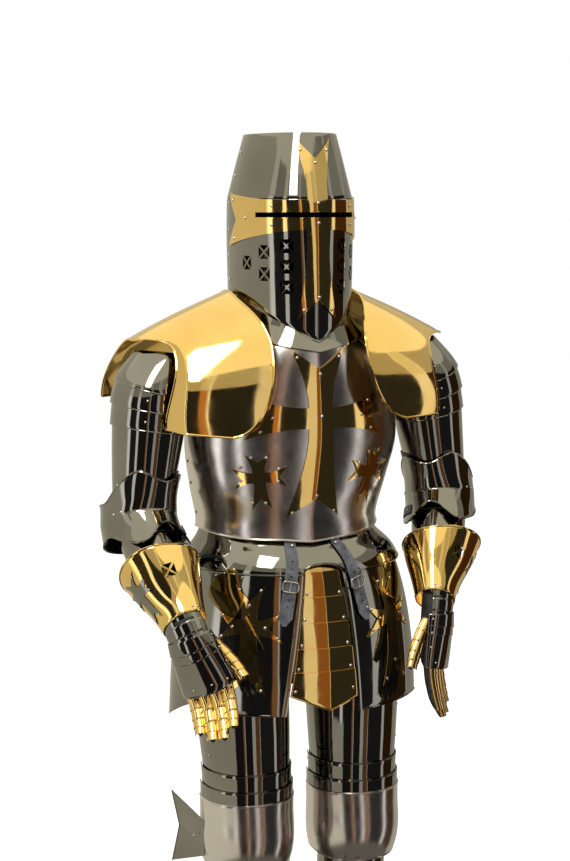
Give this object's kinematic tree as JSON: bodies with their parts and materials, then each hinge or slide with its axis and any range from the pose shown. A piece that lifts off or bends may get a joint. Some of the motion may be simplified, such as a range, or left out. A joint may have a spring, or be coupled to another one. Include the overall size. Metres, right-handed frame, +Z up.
{
  "type": "suit of plate armour",
  "caption": "Standing suit of plate armour: flat-topped great helm with a forked brass cross, brass shoulder plates, hinged arms and knees, and a skirt of hanging plates.",
  "frame": {"origin": "on the floor, under the middle of the whole suit", "axes": "+Z up; the suit faces -Y; +X is the wearer's left"},
  "size_m": [0.7624, 0.4904, 1.833],
  "materials": {
    "blued_steel": "mirror-polished dark gunmetal steel",
    "satin_steel": "softly polished steel",
    "brass": "mirror-polished brass",
    "strap_leather": "dark grey strap leather, matt",
    "glove_leather": "black glove leather, matt"
  },
  "bodies": {
    "torso": {"gorget": "blued_steel", "breastplate": "satin_steel", "backplate": "satin_steel", "breast_cross": "brass", "breast_star_right": "brass", "breast_star_left": "brass", "fauld_front": "blued_steel", "fauld_back": "blued_steel", "fauld_lame_1": "brass", "fauld_lame_2": "brass", "fauld_lame_3": "brass", "fauld_lame_4": "brass", "fauld_lame_5": "brass", "tasset_front_right": "blued_steel", "tasset_side_right": "blued_steel", "tasset_cross_right": "brass", "tasset_front_left": "blued_steel", "tasset_side_left": "blued_steel", "tasset_cross_left": "brass", "culet": "blued_steel", "strap_right": "strap_leather", "buckle_right": "satin_steel", "strap_left": "strap_leather", "buckle_left": "satin_steel", "pauldron_right": "brass", "shoulder_lame_upper_right": "blued_steel", "shoulder_lame_middle_right": "blued_steel", "shoulder_lame_lower_right": "blued_steel", "rerebrace_right": "blued_steel", "couter_right": "blued_steel", "cuisse_right": "blued_steel", "knee_lame_right": "blued_steel", "poleyn_right": "satin_steel", "pauldron_left": "brass", "shoulder_lame_upper_left": "blued_steel", "shoulder_lame_middle_left": "blued_steel", "shoulder_lame_lower_left": "blued_steel", "rerebrace_left": "blued_steel", "couter_left": "blued_steel", "cuisse_left": "blued_steel", "knee_lame_left": "blued_steel", "poleyn_left": "satin_steel"},
    "helm": {"helm_crown": "blued_steel", "helm_upper_front": "blued_steel", "helm_upper_back": "blued_steel", "helm_lower_front": "blued_steel", "helm_lower_back": "blued_steel", "helm_cross": "brass"},
    "forearm_right": {"vambrace_right": "blued_steel", "gauntlet_cuff_right": "brass", "hand_plate_right": "blued_steel", "glove_right": "glove_leather"},
    "forearm_left": {"vambrace_left": "blued_steel", "gauntlet_cuff_left": "brass", "hand_plate_left": "blued_steel", "glove_left": "glove_leather"},
    "shin_right": {"greave_right": "blued_steel", "sabaton_right": "blued_steel"},
    "shin_left": {"greave_left": "blued_steel", "sabaton_left": "blued_steel"}
  },
  "joints": [
    {"name": "helm_lift", "type": "slide", "parent": "torso", "child": "helm", "axis": [0, 0, 1], "range_m": [0, 0.4]},
    {"name": "elbow_right", "type": "hinge", "parent": "torso", "child": "forearm_right", "pos_m": [-0.30996, 0.03044, 1.126], "axis": [0.9335, 0.3246, -0.1524], "range_deg": [-10, 40]},
    {"name": "elbow_left", "type": "hinge", "parent": "torso", "child": "forearm_left", "pos_m": [0.30704, 0.05344, 1.136], "axis": [0.7992, -0.585, 0.1382], "range_deg": [-10, 34]},
    {"name": "knee_right", "type": "hinge", "parent": "torso", "child": "shin_right", "pos_m": [-0.11296, 0.00644, 0.512], "axis": [1, 0, 0], "range_deg": [0, 60]},
    {"name": "knee_left", "type": "hinge", "parent": "torso", "child": "shin_left", "pos_m": [0.10304, 0.00644, 0.512], "axis": [1, 0, 0], "range_deg": [0, 60]}
  ]
}
